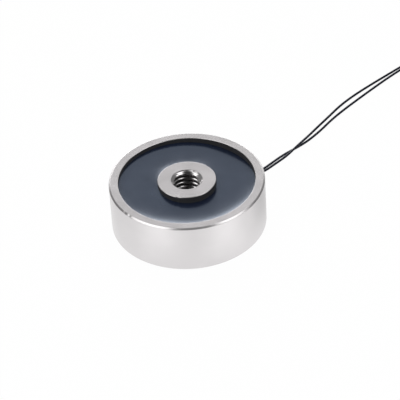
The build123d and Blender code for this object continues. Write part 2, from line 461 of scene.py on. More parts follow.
class MeshMaker:
    """Collects vertices and faces in millimetres and makes a mesh object in metres."""

    def __init__(self, name: str) -> None:
        """Starts an empty mesh of this name.

        Args:
            name: The name of the mesh and of its object.
        """
        self.name = name
        self.vertices: list[Point] = []
        self.faces: list[tuple[int, ...]] = []
        self.slots: list[int] = []

    def vertex(self, place: Iterable[float]) -> int:
        """Adds a vertex and returns its number."""
        self.vertices.append(tuple(place))
        return len(self.vertices) - 1

    def face(self, corners: Sequence[int], area: Area = Area.GROUND) -> None:
        """Adds a face of this area."""
        self.faces.append(tuple(corners))
        self.slots.append(area.value)

    def band(self, lower: Sequence[int], upper: Sequence[int], area: Area = Area.GROUND) -> None:
        """Joins two closed rows of vertices by quads.

        Args:
            lower: The first row.
            upper: The next row.
            area: The area of the faces.
        """
        count = len(lower)
        for index in range(count):
            after = (index + 1) % count
            self.face((lower[index], lower[after], upper[after], upper[index]), area)

    def tube(self, rounds: Iterable[Iterable[Point]], closed: bool = False) -> None:
        """Adds rounds of vertices and joins each one to the next.

        Args:
            rounds: The places of each round.
            closed: Whether the last round is joined to the first, instead of a cap on both.
        """
        rows = [[self.vertex(place) for place in places] for places in rounds]
        for lower, upper in zip(rows, rows[1:] + rows[:closed]):
            self.band(lower, upper)
        if not closed:
            self.face(rows[0][::-1])
            self.face(rows[-1])

    def make(self, materials: Sequence[Material], sharp: float = SHARP_ANGLE) -> Object:
        """Makes the object, welds it and turns its faces outwards.

        Args:
            materials: The materials, in the order of the areas.
            sharp: The angle in degrees past which an edge is shaded sharp.

        Returns:
            The object, at the origin.
        """
        mesh = bpy.data.meshes.new(self.name)
        mesh.from_pydata([[part * MM for part in place] for place in self.vertices], [], self.faces)
        for material in materials:
            mesh.materials.append(material)
        mesh.polygons.foreach_set("material_index", self.slots)
        obj = add_object(self.name, mesh)
        clean_mesh(mesh, sharp)
        return obj


def clean_mesh(mesh: Mesh, sharp: float = SHARP_ANGLE) -> None:
    """Welds doubles, drops faces with no area, points faces outwards and shades them smooth.

    Args:
        mesh: The mesh.
        sharp: The angle in degrees past which an edge is shaded sharp.
    """
    work = bmesh.new()
    work.from_mesh(mesh)
    bmesh.ops.remove_doubles(work, verts=work.verts, dist=WELD * MM)
    bmesh.ops.dissolve_degenerate(work, edges=work.edges, dist=WELD * MM)
    bmesh.ops.recalc_face_normals(work, faces=work.faces)
    work.to_mesh(mesh)
    work.free()
    mesh.shade_smooth()
    mesh.set_sharp_from_angle(angle=radians(sharp))
    mesh.update()


def flatten(obj: Object) -> Object:
    """Replaces an object's mesh by its evaluated one and removes its modifiers.

    Args:
        obj: The object.

    Returns:
        The object itself.
    """
    graph = bpy.context.evaluated_depsgraph_get()
    mesh = bpy.data.meshes.new_from_object(obj.evaluated_get(graph))
    obj.modifiers.clear()
    old = obj.data
    obj.data = mesh
    if isinstance(old, Mesh):
        bpy.data.meshes.remove(old)
    return obj


def settle(obj: Object, nodes: Sequence[str] = ()) -> Object:
    """Puts a finished piece on the magnet's body.

    Args:
        obj: The piece.
        nodes: The solids that it stands for.

    Returns:
        The piece.
    """
    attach(obj, "root")
    if nodes:
        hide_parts(*nodes)
    log.info("%s: %s", obj.name, "curve" if obj.type == "CURVE" else f"{len(obj.data.polygons)} faces")
    return obj


@dataclass(frozen=True)
class Nick:
    """A small dent in an edge of the cup: where it is, how far it reaches and how deep it is."""

    azimuth: float
    radius: float
    height: float
    width: float
    depth: float
    sink: float = 0.6

    def push(self, place: Point) -> Point:
        """Moves a point of the edge inwards and down, by its nearness to the dent.

        Args:
            place: The point.

        Returns:
            Where the dent leaves it.
        """
        centre = polar(self.azimuth, self.radius, self.height)
        far = sqrt(sum((part - own) ** 2 for part, own in zip(place, centre)))
        pressed = self.depth * exp(-((far / self.width) ** 2))
        share = 1.0 - pressed / hypot(place[0], place[1])
        return (place[0] * share, place[1] * share, place[2] - pressed * self.sink)


@dataclass
class Yoke:
    """The turned steel cup, with its pole, its tapped hole and its lead hole."""

    outer_radius: float
    height: float
    rim_inner_radius: float
    floor: float
    pole_radius: float = 5.65
    chamfer: float = 0.3
    edge_break: float = 0.08
    chamfer_rounding: float = 0.07
    edge_rounding: float = 0.04
    groove_rounding: float = 0.25
    segments: int = 360
    thread_radius: float = 3.0
    crest_radius: float = 2.5
    pitch: float = 1.0
    root_flat: float = 0.125
    mouth_margin: float = 0.04
    mouth_wall: float = 0.12
    mouth_slope: float = 1.35
    mouth_land: float = 0.2
    guard: float = 0.5
    thread_segments: int = 180
    rows_per_turn: int = 20
    hole_radius: float = 0.9
    hole_azimuth: float = 33.0
    hole_height: float = 3.5
    deburr: float = 0.12
    drill_start: float = 1.0
    drill_sides: int = 48

    @property
    def mouth_radius(self) -> float:
        """The radius of the countersink at both faces."""
        return self.thread_radius + self.mouth_margin

    def bore_radius(self, phase: float, height: float) -> float:
        """The radius of the thread, with a short wall and a countersink at both mouths.

        Args:
            phase: The place along the thread, where each whole number is one pitch.
            height: Its height over the back face.

        Returns:
            The radius.
        """
        depth = min(height, self.height - height)
        if depth == 0.0:
            return self.mouth_radius
        off_root = abs((phase % 1.0) - 0.5) * self.pitch - self.root_flat / 2.0
        cut = self.thread_radius - off_root / tan(radians(THREAD_HALF_ANGLE))
        sink = self.mouth_radius - self.mouth_slope * max(depth - self.mouth_wall, 0.0)
        return max(min(max(cut, self.crest_radius), self.thread_radius), sink)

    def profile(self) -> Profile:
        """The turned outline from the top mouth round to the bottom mouth.

        Returns:
            The outline.
        """
        ground, wall, groove = Area.GROUND, Area.WALL, Area.GROOVE
        mouth = self.mouth_radius + self.mouth_land
        top, pole, rim = self.height, self.pole_radius, self.rim_inner_radius
        small, fine, cut = self.edge_break, self.edge_rounding, self.chamfer
        outer, soft = self.outer_radius, self.chamfer_rounding
        return Profile([
            Corner(mouth, top, ground),
            Corner(pole - small - self.guard, top, ground),
            Corner(pole - small, top, ground, fine),
            Corner(pole, top - small, groove, fine),
            Corner(pole, self.floor, groove, self.groove_rounding),
            Corner(rim, self.floor, groove, self.groove_rounding),
            Corner(rim, top - small, ground, fine),
            Corner(rim + small, top, ground, fine),
            Corner(outer - cut - self.guard, top, ground),
            Corner(outer - cut, top, wall, soft),
            Corner(outer, top - cut, wall, soft),
            Corner(outer, top - cut - self.guard, wall),
            Corner(outer, cut, wall, soft),
            Corner(outer - cut, 0.0, wall, soft),
            Corner(mouth, 0.0, wall),
        ]).trace()

    def add_shell(self, maker: MeshMaker, nicks: Sequence[Nick]) -> tuple[list[int], list[int]]:
        """Spins the outline.

        Args:
            maker: The mesh to add to.
            nicks: The dents in its edges.

        Returns:
            The rows of vertices at the top and the bottom mouth.
        """
        outline = self.profile()
        rows = []
        for radius, height in outline.points:
            row = []
            for azimuth in azimuths(self.segments):
                place = polar(azimuth, radius, height)
                for nick in nicks:
                    place = nick.push(place)
                row.append(maker.vertex(place))
            rows.append(row)
        for area, lower, upper in zip(outline.areas, rows, rows[1:]):
            maker.band(lower, upper, area)
        return rows[0], rows[-1]

    def add_bore(self, maker: MeshMaker) -> tuple[list[int], list[int]]:
        """Cuts the thread: rows of vertices that climb one pitch in each turn.

        Args:
            maker: The mesh to add to.

        Returns:
            The rows of vertices at the top and the bottom mouth.
        """
        turns = int(self.height / self.pitch) + 2
        count = turns * self.rows_per_turn
        columns = []
        for step in range(self.thread_segments):
            share = step / self.thread_segments
            column = []
            for row in range(count + 1):
                phase = row / self.rows_per_turn - 1.0 + share
                height = min(max(phase * self.pitch, 0.0), self.height)
                radius = self.bore_radius(phase - share, height)
                column.append(maker.vertex(polar(360.0 * share, radius, height)))
            columns.append(column)
        for step in range(self.thread_segments):
            after = (step + 1) % self.thread_segments
            lift = self.rows_per_turn if after == 0 else 0
            for row in range(count - lift):
                low, high = columns[step], columns[after]
                corners = (low[row], high[row + lift], high[row + lift + 1], low[row + 1])
                maker.face(corners, Area.THREAD)
        return [column[-1] for column in columns], [column[0] for column in columns]

    def add_mouth(
        self, maker: MeshMaker, fine: Sequence[int], outer: Sequence[int], area: Area
    ) -> None:
        """Joins the mouth of the bore to the shell, which has twice as many vertices.

        Args:
            maker: The mesh to add to.
            fine: The bore's row.
            outer: The shell's row.
            area: The area of the faces.
        """
        count = len(fine)
        for index in range(count):
            after = (index + 1) % count
            first = 2 * index
            last = outer[(first + 2) % len(outer)]
            corners = (fine[index], outer[first], outer[first + 1], last, fine[after])
            maker.face(corners, area)

    def hole_round(self, distance: float, radius: float, sides: int) -> list[Point]:
        """A round of places across the lead hole.

        Args:
            distance: How far it is from the magnet's axis.
            radius: Its radius.
            sides: How many places it has.

        Returns:
            The places.
        """
        places = []
        for azimuth in azimuths(sides):
            across, up, _ = polar(azimuth, radius, 0.0)
            places.append(polar(self.hole_azimuth, distance, self.hole_height + up, across))
        return places

    def cut_lead_hole(self, obj: Object) -> None:
        """Drills the lead hole through the rim wall and breaks its outer edge.

        Args:
            obj: The cup.
        """
        drill = MeshMaker("drill")
        stations = [
            (self.rim_inner_radius - self.drill_start, self.hole_radius),
            (self.outer_radius - self.deburr, self.hole_radius),
            (self.outer_radius + self.deburr, self.hole_radius + 2.0 * self.deburr),
        ]
        drill.tube(self.hole_round(distance, radius, self.drill_sides) for distance, radius in stations)
        cutter = drill.make([])
        modifier = obj.modifiers.new("lead_hole", "BOOLEAN")
        modifier.operation = "DIFFERENCE"
        modifier.solver = "EXACT"
        modifier.object = cutter
        flatten(obj)
        bpy.data.objects.remove(cutter)
        clean_mesh(obj.data)

    def build(self, nicks: Sequence[Nick]) -> Object:
        """Makes the whole cup.

        Args:
            nicks: The dents in its edges.

        Returns:
            The cup.
        """
        maker = MeshMaker("steel_cup")
        top, bottom = self.add_shell(maker, nicks)
        bore_top, bore_bottom = self.add_bore(maker)
        self.add_mouth(maker, bore_top, top, Area.GROUND)
        self.add_mouth(maker, bore_bottom, bottom, Area.WALL)
        cup = maker.make([AREA_FINISHES[area].material() for area in Area])
        self.cut_lead_hole(cup)
        return settle(cup, ["yoke"])


@dataclass
class Potting:
    """The resin poured over the coil, with the rim that it climbed up both walls."""

    inner_radius: float
    outer_radius: float
    floor: float
    level: float
    pole_rise: float = 0.2
    pole_climb: float = 1.3
    rim_rise: float = 0.44
    rim_climb: float = 2.1
    skew: float = 0.6
    skew_azimuth: float = -60.0
    pole_skew: float = 1.8
    thin: float = 0.85
    thin_azimuth: float = 50.0
    thin_spread: float = 30.0
    lean: float = 0.019
    lean_azimuth: float = -31.0
    bobbin_top: float = 7.4
    flange_radius: float = 11.6
    tape_radius: float = 11.12
    winding_base: float = 3.0
    winding_top: float = 6.8
    segments: int = 256
    steps: int = 44
    wave: float = 0.018
    wave_size: float = 4.5
    uneven: float = 0.12
    uneven_size: float = 2.0
    seed: float = 3.7
    sharp: float = 50.0

    def surface_height(self, azimuth: float, radius: float) -> float:
        """The height of the poured surface over the back face.

        Args:
            azimuth: Degrees about the axis.
            radius: Distance from the axis.

        Returns:
            The height.
        """
        x, y, _ = polar(azimuth, radius, 0.0)
        ripple = noise.noise(Vector((x / self.wave_size, y / self.wave_size, self.seed)))
        round_wall = Vector(polar(azimuth, self.uneven_size, self.seed))
        downhill = radius * cos(radians(azimuth - self.lean_azimuth))
        skewed = self.skew * cos(radians(azimuth - self.skew_azimuth))
        turned = (azimuth - self.thin_azimuth + 180.0) % 360.0 - 180.0
        thinned = 1.0 - self.thin * exp(-((turned / self.thin_spread) ** 2))
        height = self.level + self.wave * ripple - self.lean * downhill
        for wall, rise, climb in (
            (self.inner_radius, self.pole_rise * (1.0 - self.pole_skew * skewed), self.pole_climb),
            (self.outer_radius, self.rim_rise * (1.0 + skewed) * thinned, self.rim_climb),
        ):
            lift = rise * (1.0 + self.uneven * noise.noise(round_wall + Vector((wall, 0.0, 0.0))))
            height += lift * exp(-abs(radius - wall) / climb)
        return height

    def build(self) -> Object:
        """Makes the ring of resin round the bobbin, closed below.

        Returns:
            The resin.
        """
        around = azimuths(self.segments)
        rounds = []
        for step in range(self.steps + 1):
            eased = 0.5 - 0.5 * cos(pi * step / self.steps)
            radius = self.inner_radius + (self.outer_radius - self.inner_radius) * eased
            heights = [self.surface_height(azimuth, radius) for azimuth in around]
            rounds.append([polar(azimuth, radius, height) for azimuth, height in zip(around, heights)])
        for radius, height in (
            (self.outer_radius, self.floor),
            (self.flange_radius, self.floor),
            (self.flange_radius, self.winding_base),
            (self.tape_radius, self.winding_base),
            (self.tape_radius, self.winding_top),
            (self.flange_radius, self.winding_top),
            (self.flange_radius, self.bobbin_top),
            (self.inner_radius, self.bobbin_top),
        ):
            rounds.append([polar(azimuth, radius, height) for azimuth in around])
        maker = MeshMaker("poured_resin")
        maker.tube(rounds, closed=True)
        return settle(maker.make([RESIN.material()], self.sharp), ["potting"])


@dataclass
class HolePlug:
    """The resin that filled the lead hole, dished between the wall and the leads."""

    yoke: Yoke
    start: float = 0.3
    recess: float = 0.15
    dish: float = 0.12
    steps: int = 10
    segments: int = 64
    sharp: float = 60.0

    def build(self) -> Object:
        """Makes the plug.

        Returns:
            The plug.
        """
        yoke = self.yoke
        face = yoke.outer_radius - self.recess
        rounds = [yoke.hole_round(yoke.rim_inner_radius - self.start, yoke.hole_radius, self.segments)]
        for step in range(self.steps):
            share = step / self.steps
            hollow = self.dish * (1.0 - (1.0 - share) ** 2)
            rounds.append(yoke.hole_round(face - hollow, yoke.hole_radius * (1.0 - share), self.segments))
        maker = MeshMaker("hole_resin")
        maker.tube(rounds)
        return settle(maker.make([RESIN.material()], self.sharp))


class GeometryTree(Tree):
    """Builds one Geometry Nodes tree with named inputs and turns its result into a mesh."""

    def __init__(self, name: str, sizes: Any) -> None:
        """Starts a tree with a named input for each decimal number of a piece.

        Args:
            name: The name of the tree and of its object.
            sizes: The piece, a dataclass.
        """
        super().__init__(bpy.data.node_groups.new(name, "GeometryNodeTree"))
        self.name = name
        numbers = asdict(sizes).items()
        self.values = {label: value for label, value in numbers if isinstance(value, float)}
        for label in self.values:
            self.tree.interface.new_socket(name=label, in_out="INPUT", socket_type="NodeSocketFloat")
        self.tree.interface.new_socket(name="Geometry", in_out="OUTPUT", socket_type="NodeSocketGeometry")
        given = self.node("NodeGroupInput").outputs
        self.inputs = {label: Signal(self, given[label]) for label in self.values}

    def finish(self, geometry: Signal, material: Material) -> Object:
        """Ends the tree and makes a plain mesh of its result.

        Args:
            geometry: The geometry that the tree ends with.
            material: What it is made of.

        Returns:
            The object, at the origin.
        """
        smooth = self.add("GeometryNodeSetShadeSmooth", {"Geometry": geometry})
        real = self.add("GeometryNodeRealizeInstances", {0: smooth})
        dressed = self.add("GeometryNodeSetMaterial", {"Geometry": real, "Material": material})
        self.node("NodeGroupOutput", {0: dressed})
        obj = add_object(self.name, bpy.data.meshes.new(self.name))
        modifier = obj.modifiers.new(self.name, "NODES")
        modifier.node_group = self.tree
        for item in self.tree.interface.items_tree:
            if item.in_out == "INPUT":
                modifier[item.identifier] = self.values[item.name]
        flatten(obj)
        obj.data.transform(Matrix.Scale(MM, 4))
        return obj


@dataclass(frozen=True)
class Strands:
    """Round strands twisted about one line, in millimetres."""

    count: int
    strand_radius: float
    lay_radius: float
    length: float
    turns: float
    segments: int = 40
    sides: int = 10

    def build(self, name: str, material: Material) -> Object:
        """Makes the strands along +Z from the origin, as one mesh.

        Args:
            name: The name of the mesh.
            material: What it is made of.

        Returns:
            The strands.
        """
        tree = GeometryTree(name, self)
        sizes = tree.inputs
        ends = {"Start": (0.0, 0.0, 0.0), "End": (0.0, 0.0, 1.0)}
        line = tree.add("GeometryNodeCurvePrimitiveLine", ends)
        fine = tree.add("GeometryNodeResampleCurve", {"Curve": line, "Count": self.segments})
        seats = tree.add("GeometryNodePoints", {"Count": self.count})
        placed = tree.add("GeometryNodeInstanceOnPoints", {"Points": seats, "Instance": fine})
        share = tree.add("GeometryNodeInputIndex") / float(self.count)
        kept = {"Geometry": placed, "Name": "seat", "Value": share}
        stored = tree.add("GeometryNodeStoreNamedAttribute", kept, data_type="FLOAT", domain="INSTANCE")
        real = tree.add("GeometryNodeRealizeInstances", {0: stored})
        seat = tree.add("GeometryNodeInputNamedAttribute", {"Name": "seat"}, data_type="FLOAT")
        along = tree.add("GeometryNodeSplineParameter")
        angle = (along * sizes["turns"] + seat) * (2.0 * pi)
        across, aside = (wave * sizes["lay_radius"] for wave in (angle.cosine(), angle.sine()))
        place = tree.join(across, aside, along * sizes["length"])
        helix = tree.add("GeometryNodeSetPosition", {"Geometry": real, "Position": place})
        round_section = {"Resolution": self.sides, "Radius": sizes["strand_radius"]}
        section = tree.add("GeometryNodeCurvePrimitiveCircle", round_section)
        swept = {"Curve": helix, "Profile Curve": section, "Fill Caps": True}
        return tree.finish(tree.add("GeometryNodeCurveToMesh", swept), material)


@dataclass(frozen=True)
class SurfaceBubbles:
    """Pinhead bubbles that rose to the skin of the resin and left low domes there."""

    inner_radius: float
    outer_radius: float
    level: float
    count: int = 16
    smallest: float = 0.03
    largest: float = 0.08
    flatness: float = 0.4
    subdivisions: int = 3
    seed: int = 11

    def build(self) -> Object:
        """Makes the domes as one mesh.

        Returns:
            The domes.
        """
        tree = GeometryTree("surface_bubbles", self)
        sizes = tree.inputs
        seats = tree.add("GeometryNodePoints", {"Count": self.count})
        angle = self.chance(tree, 0.0, 2.0 * pi, 1)
        reach = self.chance(tree, sizes["inner_radius"], sizes["outer_radius"], 2)
        place = tree.join(angle.cosine() * reach, angle.sine() * reach, sizes["level"])
        spread = tree.add("GeometryNodeSetPosition", {"Geometry": seats, "Position": place})
        unit_dome = {"Radius": 1.0, "Subdivisions": self.subdivisions}
        dome = tree.add("GeometryNodeMeshIcoSphere", unit_dome)
        size = self.chance(tree, sizes["smallest"], sizes["largest"], 3)
        scale = tree.join(size, size, size * sizes["flatness"])
        copies = {"Points": spread, "Instance": dome, "Scale": scale}
        placed = tree.add("GeometryNodeInstanceOnPoints", copies)
        return settle(tree.finish(placed, RESIN.material()))

    def chance(self, tree: GeometryTree, low: Any, high: Any, draw: int) -> Signal:
        """A random number for each bubble, the same on each run."""
        sockets = {2: low, 3: high, "Seed": self.seed + draw}
        return tree.add("FunctionNodeRandomValue", sockets, 1, data_type="FLOAT")


@dataclass
class SpareCoil:
    """The tied coil of spare lead: each lead winds inwards, climbs a row and winds out again."""

    centre: tuple[float, float] = (55.6, 47.2)
    outer_turn: float = 3.75
    pitch: float = 0.49
    turns: int = 7
    entry: float = 128.0
    steps_per_turn: int = 16
    first_height: float = 0.245
    pinch_azimuth: float = -70.0
    tie_thickness: float = 0.2
    tie_width: float = 1.2
    mid_radius: float = 2.88
    half_width: float = 1.22
    height: float = 1.95
    climb_turns: float = 0.3

    def place(self, azimuth: float, radius: float, height: float, offset: float = 0.0) -> Point:
        """A point about the coil's own axis."""
        x, y, z = polar(azimuth, radius, height, offset)
        return (self.centre[0] + x, self.centre[1] + y, z)

    def turns_of(self, side: Side, leave: float) -> list[Point]:
        """The points of one lead in the coil, clockwise from the entry.

        Args:
            side: Which lead.
            leave: The azimuth at which it leaves the coil.

        Returns:
            The points.
        """
        row = 0 if side is Side.A else 2
        total = self.turns + (self.entry - leave) / 360.0
        count = round(total * self.steps_per_turn)
        bulge = 1.0 / cos(pi / self.steps_per_turn)
        points = []
        for step in range(count + 1):
            gone = total * step / count
            inward = min(gone, total - gone)
            risen = min(max((gone - total / 2.0) / self.climb_turns + 0.5, 0.0), 1.0)
            climb = risen * risen * (3.0 - 2.0 * risen)
            radius = (self.outer_turn - self.pitch * inward) * bulge
            height = self.first_height + self.pitch * (row + climb)
            points.append(self.place(self.entry - 360.0 * gone, radius, height))
        return points


@dataclass
class Lead:
    """One lead: from its joint in the cup, out of the hole, along the floor and through the coil."""

    side: Side
    route: list[Point]
    tail: list[Point]
    leave: float
    yoke: Yoke
    coil: SpareCoil
    diameter: float = 0.48
    spacing: float = 0.6
    circle: float = 12.135
    inner_reach: float = 46.0
    inner_end: float = 16.0
    inner_step: float = 6.0
    turn_in: float = 1.0
    real_length: float = 200.0
    curve_steps: int = 6
    round_steps: int = 4

    @property
    def start(self) -> float:
        """How far from the axis the free lead starts, in the middle of the wall."""
        return (self.yoke.rim_inner_radius + self.yoke.outer_radius) / 2.0

    def through_hole(self, distance: float, aside: float = 0.0) -> Point:
        """A point of the lead in its hole, to its own side.

        Args:
            distance: How far it is from the magnet's axis.
            aside: How far it is from the lead's line.

        Returns:
            The point.
        """
        sign = self.side.value
        offset = sign * (self.spacing / 2.0 + aside)
        return polar(self.yoke.hole_azimuth, distance, self.yoke.hole_height, offset)

    def inside(self) -> list[Point]:
        """The points inside the cup: round the coil, and turning into the hole.

        Returns:
            The points.
        """
        count = round((self.inner_reach - self.inner_end) / self.inner_step)
        reach = self.circle / cos(radians(self.inner_step) / 2.0)
        points = []
        for step in range(count + 1):
            turn = self.side.value * (self.inner_reach - step * self.inner_step)
            radius = self.circle if step == 0 else reach
            points.append(polar(self.yoke.hole_azimuth + turn, radius, self.yoke.hole_height))
        points.append(self.through_hole(self.circle, self.turn_in))
        points.append(self.through_hole(self.circle + self.turn_in))
        points.append(self.through_hole(self.start))
        return points

    def outside(self) -> list[Point]:
        """The points of the free lead: out of the hole, along the floor and through the coil.

        Returns:
            The points.
        """
        clear = self.yoke.outer_radius + self.yoke.hole_radius
        hole = [self.through_hole(self.start), self.through_hole(clear)]
        return hole + self.route + self.coil.turns_of(self.side, self.leave) + self.tail

    def curve(self, name: str, line: Sequence[Point]) -> Object:
        """Makes one smooth round curve along points in millimetres.

        Args:
            name: The piece's name.
            line: The control points.

        Returns:
            The curve.
        """
        curve = bpy.data.curves.new(name, "CURVE")
        curve.dimensions = "3D"
        curve.resolution_u = self.curve_steps
        curve.bevel_depth = self.diameter / 2.0 * MM
        curve.bevel_resolution = self.round_steps
        curve.use_fill_caps = True
        spline = curve.splines.new("NURBS")
        spline.points.add(len(line) - 1)
        for knot, place in zip(spline.points, line):
            knot.co = (*(part * MM for part in place), 1.0)
        spline.order_u = 3
        spline.use_endpoint_u = True
        spline.use_smooth = True
        curve.materials.append(INSULATION.material())
        return add_object(name, curve)

    def build(self) -> Object:
        """Makes the stretch that the resin holds and the free stretch.

        Returns:
            The free stretch.
        """
        letter = self.side.letter
        held = self.curve(f"held_lead_{letter}", self.inside())
        settle(held, [f"lead_{letter}"])
        free = self.curve(f"insulated_lead_{letter}", self.outside())
        return settle(free, [f"lead_{letter}", f"lead_{letter}_tail", "spare_coil"])

    def declare(self, curve: Object, tip: Object) -> None:
        """Does nothing: the lead's real length and where it leaves the cup are not stated.

        Args:
            curve: The free stretch; not used.
            tip: Its tinned end; not used.
        """


def stand(obj: Object, place: Iterable[float], heading: Iterable[float]) -> None:
    """Turns a mesh made along +Z to a heading and moves its start to a place in millimetres."""
    turn = Vector(heading).to_track_quat("Z", "Y").to_matrix().to_4x4()
    obj.data.transform(Matrix.Translation(Vector(place) * MM) @ turn)


@dataclass
class TinnedEnd:
    """The stripped end of a lead, its strands twisted and tinned."""

    lead: Lead
    length: float = 4.0
    strand_radius: float = 0.0575
    lay_radius: float = 0.0925
    strands: int = 6
    turns: float = 3.0

    def build(self) -> Object:
        """Makes the twisted strands in place at the end of the lead.

        Returns:
            The end.
        """
        letter = self.lead.side.letter
        strands = Strands(self.strands, self.strand_radius, self.lay_radius, self.length, self.turns)
        obj = strands.build(f"tinned_strands_{letter}", TINNED.material())
        before, end = (Vector(place) for place in self.lead.tail[-2:])
        stand(obj, end, end - before)
        return settle(obj, [f"lead_{letter}_tinned_end"])


@dataclass
class CoilTie:
    """The plastic-covered wire tie round the coil: a band and its two twisted ends."""

    coil: SpareCoil
    wires: int = 2
    twist_length: float = 3.4
    twist_turns: float = 3.5
    wire_radius: float = 0.18
    lay_radius: float = 0.162
    rounding: float = 0.3
    steps: int = 6
    soft: float = 0.05
    sharp: float = 45.0

    def outline(self, grow: float) -> list[tuple[float, float]]:
        """The outline of the band's section.

        Args:
            grow: By how much it is grown.

        Returns:
            The places, across and up from its middle.
        """
        half = self.coil.half_width - self.rounding
        tall = (self.coil.height - self.coil.tie_thickness) / 2.0 - self.rounding
        points = []
        for quarter, (sx, sy) in enumerate(((1, 1), (-1, 1), (-1, -1), (1, -1))):
            for step in range(self.steps + 1):
                x, y, _ = polar(90.0 * (quarter + step / self.steps), self.rounding + grow, 0.0)
                points.append((sx * half + x, sy * tall + y))
        return points

    def build(self) -> Object:
        """Makes the tie in place round the coil.

        Returns:
            The band.
        """
        coil = self.coil
        middle = (coil.height + coil.tie_thickness) / 2.0
        soft = self.soft
        first_half = [(-1.0, soft), (-1.0, 1.0 - soft), (soft - 1.0, 1.0), (1.0 - soft, 1.0)]
        second_half = [(-side, 1.0 - grow) for side, grow in first_half]
        rounds = []
        for side, grow in first_half + second_half:
            offset = side * coil.tie_width / 2.0
            section = self.outline(grow * coil.tie_thickness)
            rounds.append([
                coil.place(coil.pinch_azimuth, coil.mid_radius + across, middle + up, offset)
                for across, up in section
            ])
        maker = MeshMaker("coil_tie_band")
        maker.tube(rounds, closed=True)
        band = maker.make([TIE_COVER.material()], self.sharp)
        wire = (self.wires, self.wire_radius, self.lay_radius)
        twist = Strands(*wire, self.twist_length, self.twist_turns)
        ends = twist.build("coil_tie_twist", TIE_COVER.material())
        start = coil.mid_radius + coil.half_width + coil.tie_thickness / 2.0
        stand(ends, coil.place(coil.pinch_azimuth, start, middle), polar(coil.pinch_azimuth, 1.0, 0.0))
        settle(ends)
        return settle(band, ["coil_tie"])


@dataclass(frozen=True)
class Softbox:
    """One soft light: where it hangs about the object, its size and its brightness, where 1 is white.

    The azimuth is in degrees from the camera's side towards +X, the elevation in degrees over the floor.
    """

    name: str
    azimuth: float
    elevation: float
    distance: float
    width: float
    height: float
    glow: float


@dataclass(frozen=True)
class Pool:
    """A round painted pool of light on the floor, seen only in reflections: brighter there, or a painted
    shadow if its glow is below 0.
    """

    x: float
    y: float
    radius: float
    glow: float


